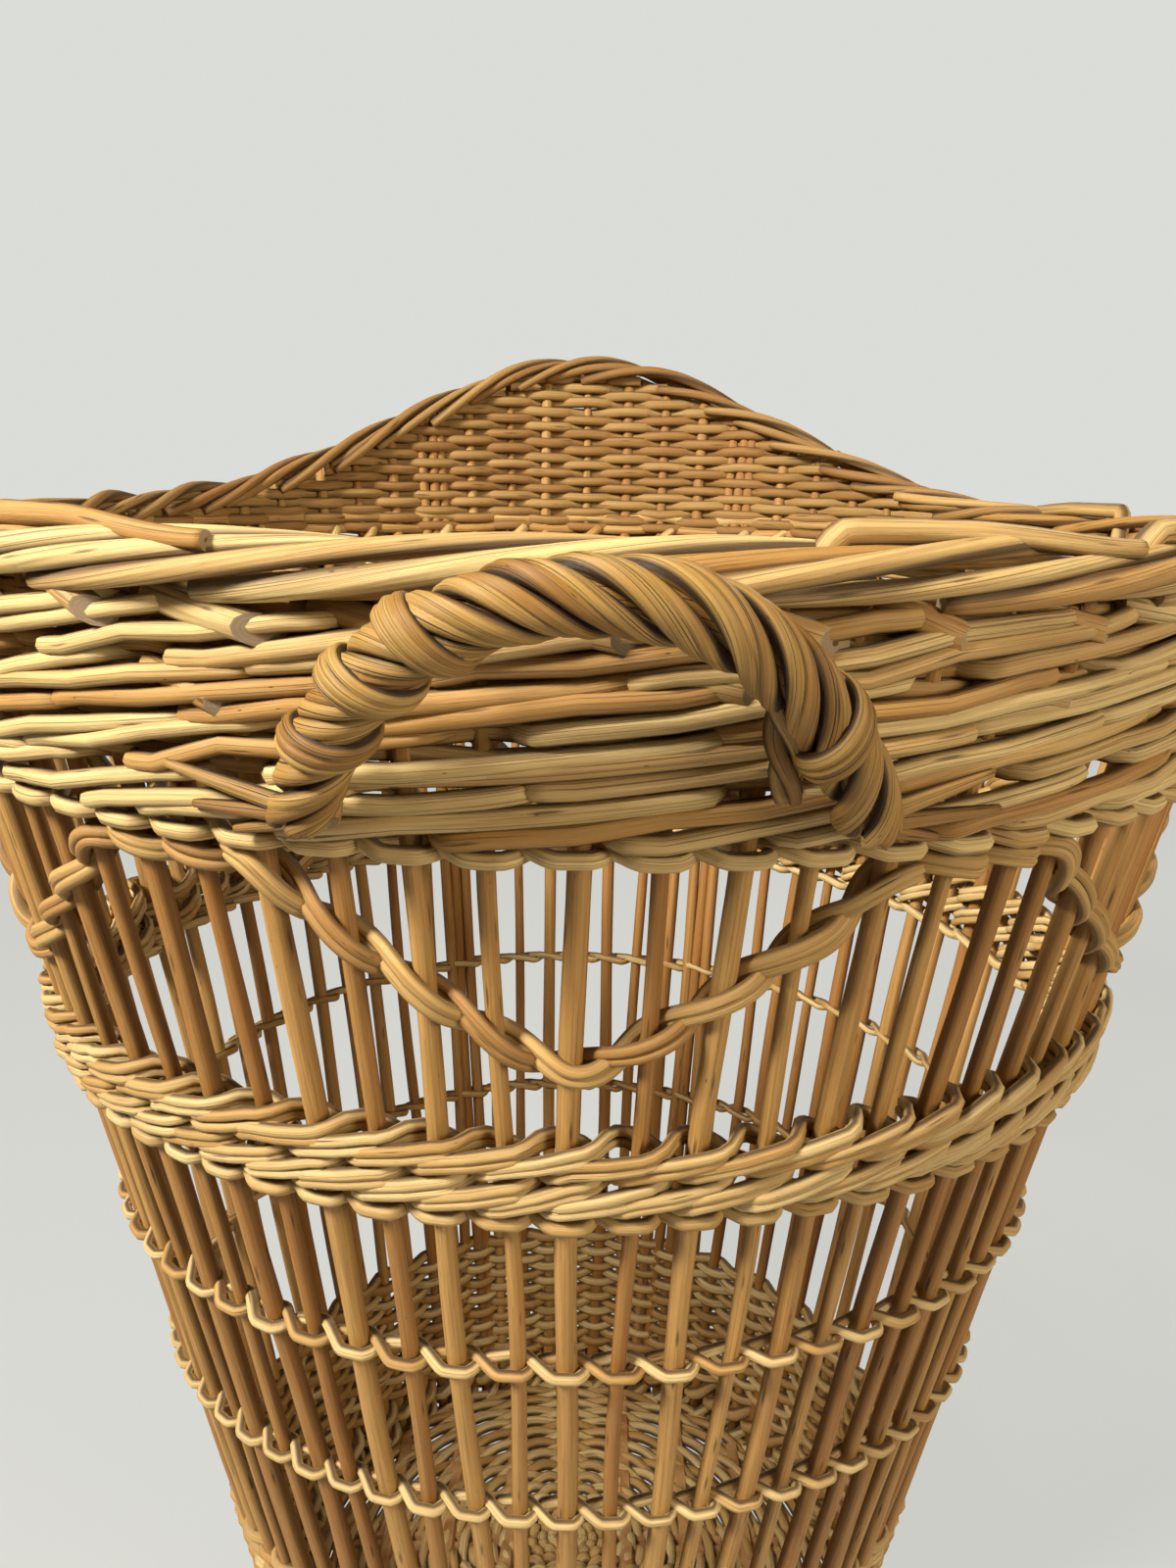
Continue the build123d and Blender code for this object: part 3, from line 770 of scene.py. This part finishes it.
# a straight run down to the right that leaves the wall as it goes
def buttEnds():
    rng = np.random.default_rng(butts["seed"])
    rimS = spreadCentres(wall["stakes"] / butts["underBorder"]) + rng.uniform(-0.3, 0.3, butts["underBorder"])
    rimZ = rimHeight(rimS * stakeStep) - butts["below"] + rng.normal(0, 0.0012, len(rimS))
    bandS = rng.uniform(0, wall["stakes"], butts["inBand"])
    margin = butts["bandMargin"]
    bandZ = rng.uniform(bandLow + margin[0], bandHigh - margin[1], butts["inBand"])
    s = np.concatenate([rimS, bandS])[:, None]
    z = np.concatenate([rimZ, bandZ])[:, None]
    share = np.linspace(0, 1, butts["points"])
    along = (share - 0.55) * butts["length"] * rng.uniform(0.8, 1.15, s.shape)
    angle = s * stakeStep + along / butts["bandRadius"]
    height = z - along * np.tan(rng.uniform(*butts["tilt"], s.shape))
    out = butts["out"] + butts["rise"] * share + rng.uniform(-0.001, 0.001, s.shape)
    radii = butts["rod"] * rng.uniform(0.82, 1.08, s.shape) * np.ones_like(share)
    tones = toneRows(rng.random(len(s)), butts["points"])
    path = wallPoint(angle, height, out)
    normal = wallNormal(angle, height)
    piece = sweepRods("buttEnds", path, radii, normal, tones, butts["sides"], bevel=butts["bevel"])
    place(piece, "band", "band_willow")


buttEnds()

# hooked rods: each comes up inside the rim, bends over sharply and lies along the top to the right
hooks = {"at": (-7.6, 2.4, 6.9, 12.2, -13.0, 18.5), "rod": 0.0039, "run": 4.2, "knee": 0.16, "back": 0.12,
         "rise": 0.018, "above": 0.0006, "sink": 0.004, "inside": 0.007, "kneeOut": 0.004, "tipOut": 0.010,
         "points": 40, "sides": 10, "seed": 65}


# smooth steps: up over the knee, then outwards and a little down over the run
def hookRods():
    rng = np.random.default_rng(hooks["seed"])
    at = np.array(hooks["at"])[:, None]
    share = np.linspace(0, 1, hooks["points"])[None]
    knee = smooth(0.0, hooks["knee"], share)
    angle = (at + hooks["run"] * np.clip(share - 0.05, 0, 1) - hooks["back"] * knee) * stakeStep
    lift = hooks["above"] - hooks["rise"] * (1 - knee) - hooks["sink"] * smooth(0.45, 1.0, share)
    lift = lift + rng.uniform(-0.0006, 0.0010, at.shape)
    out = hooks["kneeOut"] * knee - hooks["inside"] + hooks["tipOut"] * smooth(0.3, 1.0, share)
    path = wallPoint(angle, wall["rimHeight"] + lift, out)
    radii = hooks["rod"] * (1.05 - 0.3 * share) * rng.uniform(0.9, 1.1, at.shape)
    tones = toneRows(rng.random(at.shape), hooks["points"])
    refs = wallNormal(angle, wall["rimHeight"]) + 0.3 * upward
    place(sweepRods("hookRods", path, radii, refs, tones, hooks["sides"]), "band", "band_willow")


hookRods()

# base: oval rows round the middle, over and under the sticks by turns
base = {"rows": 26, "rod": 0.0031, "swing": 0.0026, "inset": 0.006, "eye": 0.06, "spokes": 26, "perSpoke": 6,
        "sides": 7, "seed": 71}


# the wall's oval drawn in towards the middle in equal steps, with a cosine of half a turn for each spoke
def baseRods():
    rng = np.random.default_rng(base["seed"])
    middle = (levels("base_weave_under")[0] + levels("base_weave_upper")[1]) / 2
    turn = np.arange(base["spokes"] * base["perSpoke"]) / base["perSpoke"]
    edge = wallPoint(turn * 2 * np.pi / base["spokes"], middle, -base["inset"])
    centre = np.array([0, (wall["floorBack"] - wall["floorFront"]) / 2, middle])
    share = np.linspace(base["eye"], 1.0, base["rows"])[:, None, None]
    path = centre + (edge - centre) * share
    rowNumber = np.arange(base["rows"])[:, None]
    path[..., 2] = middle + base["swing"] * np.cos(np.pi * (turn + rowNumber))
    radii = np.full(path.shape[:2], base["rod"])
    tones = toneRows(rng.random(base["rows"]), len(turn))
    refs = np.broadcast_to(upward, path.shape)
    piece = sweepRods("baseWeave", path, radii, refs, tones, base["sides"], closed=True)
    place(piece, "weave", "weave_willow", "base_weave_under", "base_weave_upper")


baseRods()

# handle: a bow that follows the band, roped by rods lying side by side in four twisted pairs
handle = {"halfWidth": 0.072, "centre": 0.003, "foot": 0.514, "rise": 0.060, "leanOut": 0.016,
          "offset": 0.0212, "pinch": (0.09, 0.14), "groups": 4, "perGroup": 2, "groupSpread": 0.92,
          "pitch": (0.046, 0.072), "reach": 0.0058, "crown": 0.0012, "rod": 0.0027, "flat": 0.95,
          "core": 0.0046, "coreTone": 0.9, "coreSides": 12, "points": 170, "sides": 10, "seed": 81}


# half an oval set out from the wall, drawn in between foot and top by a sine of twice the turn
def bowPath(turn):
    pinch = np.where(np.cos(turn) > 0, *handle["pinch"]) * np.abs(np.sin(2 * turn))
    x = handle["centre"] - handle["halfWidth"] * np.cos(turn) * (1 - pinch)
    z = handle["foot"] + handle["rise"] * np.sin(turn)
    return wallPointAt(x, z, handle["offset"] + handle["leanOut"] * np.sin(turn))


# the bow and its own directions: to the front and to the inside of the arch
def bowFrame(turn):
    tangent = unit(bowPath(turn + 0.001) - bowPath(turn - 0.001))
    front = unit(ahead - tangent * (tangent @ ahead)[..., None])
    return bowPath(turn), front, np.cross(tangent, front)


# front times cosine plus inside times sine of the twist
def bowSpoke(front, side, twist):
    return front * np.cos(twist)[..., None] + side * np.sin(twist)[..., None]


# helices round the bow: the twist is the length run over the pitch, which grows to the right, plus slow waves
def handleRods():
    rng = np.random.default_rng(handle["seed"])
    turn = np.linspace(0, np.pi, handle["points"])
    bow, front, side = bowFrame(turn)
    run = np.concatenate([[0], np.cumsum(np.linalg.norm(np.diff(bow, axis=0), axis=1))])
    number = np.arange(handle["groups"] * handle["perGroup"])[:, None]
    group = number // handle["perGroup"]
    spread = (number % handle["perGroup"] - (handle["perGroup"] - 1) / 2) / handle["perGroup"]
    start = group * 2 * np.pi / handle["groups"] + spread * handle["groupSpread"]
    start = start + rng.normal(0, 0.04, number.shape)
    tight, loose = handle["pitch"]
    pitch = tight + (loose - tight) * smooth(0.3, 0.7, turn / np.pi)
    lay = np.concatenate([[0], np.cumsum(np.diff(run) * 2 * np.pi / pitch[1:])])
    twist = start + lay + 0.08 * np.sin(run * 70 + group * 2.3)
    crown = handle["crown"] * np.cos(spread * np.pi) * (1 + 0.4 * np.sin(run * 55 + group * 2.0))
    reach = handle["reach"] + crown + 0.0003 * np.sin(run * 130 + number * 2.1)
    spoke = bowSpoke(front, side, twist)
    path = bow + spoke * reach[..., None]
    radii = handle["rod"] * rng.uniform(0.88, 1.12, number.shape) * np.ones_like(turn)
    tones = toneRows(rng.random(len(number)), handle["points"])
    piece = sweepRods("handleStrands", path, radii, spoke, tones, handle["sides"], flatten=handle["flat"])
    place(piece, "handle", "handle_willow", "handle_strands")
    coreRadii = np.full((1, handle["points"]), handle["core"])
    coreTones = np.full((1, handle["points"]), handle["coreTone"])
    core = sweepRods("handleBow", bow[None], coreRadii, front[None], coreTones, handle["coreSides"])
    place(core, "handle", "handle_willow", "handle_bow")


handleRods()

# wraps: three strands side by side that go once more round the rope
wraps = {"at": (0.40, 0.71, 1.0, 2.66), "advance": 0.26, "apart": 0.036, "reach": 0.0090, "sink": 0.0026,
         "crown": 0.0003, "rod": 0.0024, "strands": 3, "from": -1.10 * math.pi, "turn": 2.05 * math.pi,
         "points": 36, "sides": 8, "seed": 85}


# about one turn from behind over the front to behind, sinking into the rope at both ends
def handleWraps():
    rng = np.random.default_rng(wraps["seed"])
    at = np.repeat(wraps["at"], wraps["strands"])[:, None]
    strand = np.tile(np.arange(wraps["strands"]), len(wraps["at"]))[:, None] - (wraps["strands"] - 1) / 2
    share = np.linspace(0, 1, wraps["points"])[None]
    bow, front, side = bowFrame(at + strand * wraps["apart"] + wraps["advance"] * (share - 0.5))
    reach = wraps["reach"] - wraps["sink"] * smooth(0.28, 0.5, np.abs(share - 0.5))
    reach = reach + wraps["crown"] * (1 - np.abs(strand))
    spoke = bowSpoke(front, side, wraps["from"] + wraps["turn"] * share)
    radii = wraps["rod"] * rng.uniform(0.9, 1.1, at.shape) * np.ones_like(share)
    tones = toneRows(rng.random(at.shape), wraps["points"])
    path = bow + spoke * reach[..., None]
    piece = sweepRods("handleWraps", path, radii, spoke, tones, wraps["sides"], flatten=handle["flat"])
    place(piece, "handle", "handle_willow")


handleWraps()

# tails: the strands' ends fan out along the band from each foot; three more leave the rope on the right
tails = {"rod": 0.0028, "length": 0.046, "share": (1.0, 0.85, 0.6, 0.9, 1.0, 0.6),
         "side": (-1, -1, -1, 1, 1, 1), "climb": (0.20, -0.05, -0.30, 0.25, -0.02, -0.28),
         "inset": 0.004, "below": 0.002, "out": 0.0185, "sink": 0.0075, "legTurn": 2.36,
         "legTip": (0.0535, 0.5200, 0.0165), "legReach": 0.0034, "legTwist": 1.7 * math.pi, "points": 14,
         "sides": 8, "seed": 91}


# straight runs that sink to the band as a power of their length
def tailPaths(share):
    side, climb, part = [np.array(tails[key])[:, None] for key in ("side", "climb", "share")]
    run = tails["length"] * part * share
    x = handle["centre"] + side * (handle["halfWidth"] - tails["inset"] + run)
    z = handle["foot"] - tails["below"] + run * climb
    path = wallPointAt(x, z, tails["out"] - tails["sink"] * share ** 0.6)
    return path, tails["rod"] * (1.05 - 0.55 * share ** 2) * np.ones_like(x)


# three strands turning round each other on a straight line from the rope down into the band
def legPaths(share):
    tipX, tipZ, tipOut = tails["legTip"]
    tip = wallPointAt(tipX, tipZ, tipOut)
    top = bowPath(np.array(tails["legTurn"]))
    phase = np.arange(3)[:, None] * 2 * np.pi / 3 + tails["legTwist"] * share
    reach = tails["legReach"] * (1 - 0.45 * share ** 3)
    ring = np.stack([np.sin(phase) * reach, -np.cos(phase) * reach, np.zeros_like(phase)], -1)
    path = top + (tip - top) * share[..., None] + ring
    return path, tails["rod"] * (1.0 - 0.3 * share ** 3) * np.ones_like(phase)


# fans and leg together, their sections set to the front
def handleTails():
    rng = np.random.default_rng(tails["seed"])
    share = np.linspace(0, 1, tails["points"])[None]
    paths, radii = [np.concatenate(both) for both in zip(tailPaths(share), legPaths(share))]
    tones = toneRows(rng.random(len(paths)), tails["points"])
    refs = np.broadcast_to(ahead, paths.shape)
    piece = sweepRods("handleTails", paths, radii, refs, tones, tails["sides"])
    place(piece, "handle", "handle_willow", "handle_tails")


handleTails()

# base sticks stay as built; they have no rod map, so their wood reads object coordinates
sticks = {"nodes": ("base_short_sticks", "base_long_sticks"), "scale": 90.0, "detail": 4.0, "rough": 0.5,
          "pale": (0.46, 0.26, 0.10, 1), "brown": (0.26, 0.115, 0.035, 1)}


# a cloud of noise shifts the wood from pale to brown
def stickWillow():
    material, tree, shader, start = newMaterial("stickWillow")
    coord = start.node("ShaderNodeTexCoord", None, out=3)
    inputs = {"Vector": coord, "Scale": sticks["scale"], "Detail": sticks["detail"]}
    grain = start.node("ShaderNodeTexNoise", None, **inputs)
    colour = grain.band(0.35, 0.7).mixed(sticks["pale"], sticks["brown"])
    tree.links.new(colour.socket, shader.inputs["Base Color"])
    shader.inputs["Roughness"].default_value = sticks["rough"]
    for node in sticks["nodes"]:
        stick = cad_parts[node]
        stick.data.materials.clear()
        stick.data.materials.append(material)


stickWillow()
print("base sticks keep their solids:", ", ".join(sticks["nodes"]))

# studio: pale paper floor, pale backdrop and four soft lamps
studio = {"floorHalf": 6.0, "floor": (0.42, 0.42, 0.41, 1), "floorRough": 0.9, "paper": 0.78,
          "backdrop": (0.71, 0.72, 0.69, 1), "glow": (0.135, 0.108, 0.075, 1)}
lamps = {
    "keyLamp": {"spot": (-1.15, -0.85, 1.65), "target": (-0.02, 0, 0.56), "size": 0.40, "power": 34.0,
                "colour": (1.0, 0.95, 0.86), "spread": 120},
    "fillLamp": {"spot": (1.3, -1.1, 1.0), "target": (0, 0, 0.56), "size": 0.7, "power": 11.0,
                 "colour": (1.0, 0.88, 0.70), "spread": 130},
    "backLamp": {"spot": (0.9, 1.5, 1.1), "target": (0, 0, 0.45), "size": 0.9, "power": 6.0,
                 "colour": (1.0, 0.95, 0.88), "spread": 140},
    "topLamp": {"spot": (0.2, 0.1, 1.9), "target": (0, 0, 0.5), "size": 0.9, "power": 0.9,
                "colour": (1.0, 0.95, 0.88), "spread": 140},
}


# one square; what the camera sees of it is mostly the backdrop's colour, the rest is lit paper
def makeFloor():
    half = studio["floorHalf"]
    corners = [(-half, -half, 0), (half, -half, 0), (half, half, 0), (-half, half, 0)]
    mesh = bpy.data.meshes.new("floor")
    mesh.from_pydata(corners, [], [(0, 1, 2, 3)])
    floor = addObject("floor", mesh)
    material, tree, shader, start = newMaterial("floorPaper")
    shader.inputs["Base Color"].default_value = studio["floor"]
    shader.inputs["Roughness"].default_value = studio["floorRough"]
    lit = Sock(tree, shader.outputs[0])
    seen = start.node("ShaderNodeLightPath") * studio["paper"]
    paper = start.node("ShaderNodeEmission", None, Color=studio["backdrop"])
    mix = start.node("ShaderNodeMixShader", None, i0=seen, i1=lit, i2=paper)
    tree.links.new(mix.socket, tree.nodes["Material Output"].inputs["Surface"])
    mesh.materials.append(material)


# backdrop colour where the camera looks, a weaker glow as light
def makeWorld():
    world = bpy.data.worlds.new("studio")
    bpy.context.scene.world = world
    world.use_nodes = True
    tree = world.node_tree
    path = tree.nodes.new("ShaderNodeLightPath")
    direct = Sock(tree, path.outputs["Is Camera Ray"])
    through = Sock(tree, path.outputs["Is Transmission Ray"])
    colour = direct.maths("MAXIMUM", through).mixed(studio["glow"], studio["backdrop"])
    background = tree.nodes["Background"]
    background.inputs["Strength"].default_value = 1.0
    tree.links.new(colour.socket, background.inputs["Color"])


# square area light turned from its spot to its target
def makeLamp(name, lamp):
    light = bpy.data.lights.new(name, "AREA")
    light.size = lamp["size"]
    light.energy = lamp["power"]
    light.spread = math.radians(lamp["spread"])
    light.color = lamp["colour"]
    holder = addObject(name, light)
    holder.location = lamp["spot"]
    aim = Vector(lamp["target"]) - Vector(lamp["spot"])
    holder.rotation_euler = aim.to_track_quat("-Z", "Y").to_euler()


makeFloor()
makeWorld()
for name, lamp in lamps.items():
    makeLamp(name, lamp)
print("studio:", ", ".join(lamps))

# the photograph's view: place in metres, turns in degrees, focal length in pixels of a 1200 by 1600 image
view = {"spot": (0.0021, -0.4648, 0.5987), "yaw": 0.18, "pitch": 15.84, "roll": 1.09, "focal": 1120.4,
        "tall": 1600, "sensor": 36.0, "near": 0.01}


# turned by roll, then tipped down from level by pitch, then by yaw, and moved to its spot
def makeCamera():
    camera = addObject("camera", bpy.data.cameras.new("camera"))
    camera.data.sensor_width = view["sensor"]
    camera.data.lens = view["sensor"] * view["focal"] / view["tall"]
    camera.data.clip_start = view["near"]
    yaw = Matrix.Rotation(-math.radians(view["yaw"]), 4, "Z")
    pitch = Matrix.Rotation(math.pi / 2 - math.radians(view["pitch"]), 4, "X")
    roll = Matrix.Rotation(math.radians(view["roll"]), 4, "Z")
    camera.matrix_world = Matrix.Translation(view["spot"]) @ yaw @ pitch @ roll
    bpy.context.scene.camera = camera


makeCamera()
bpy.context.scene.view_settings.view_transform = "Standard"
print("camera at", view["spot"])
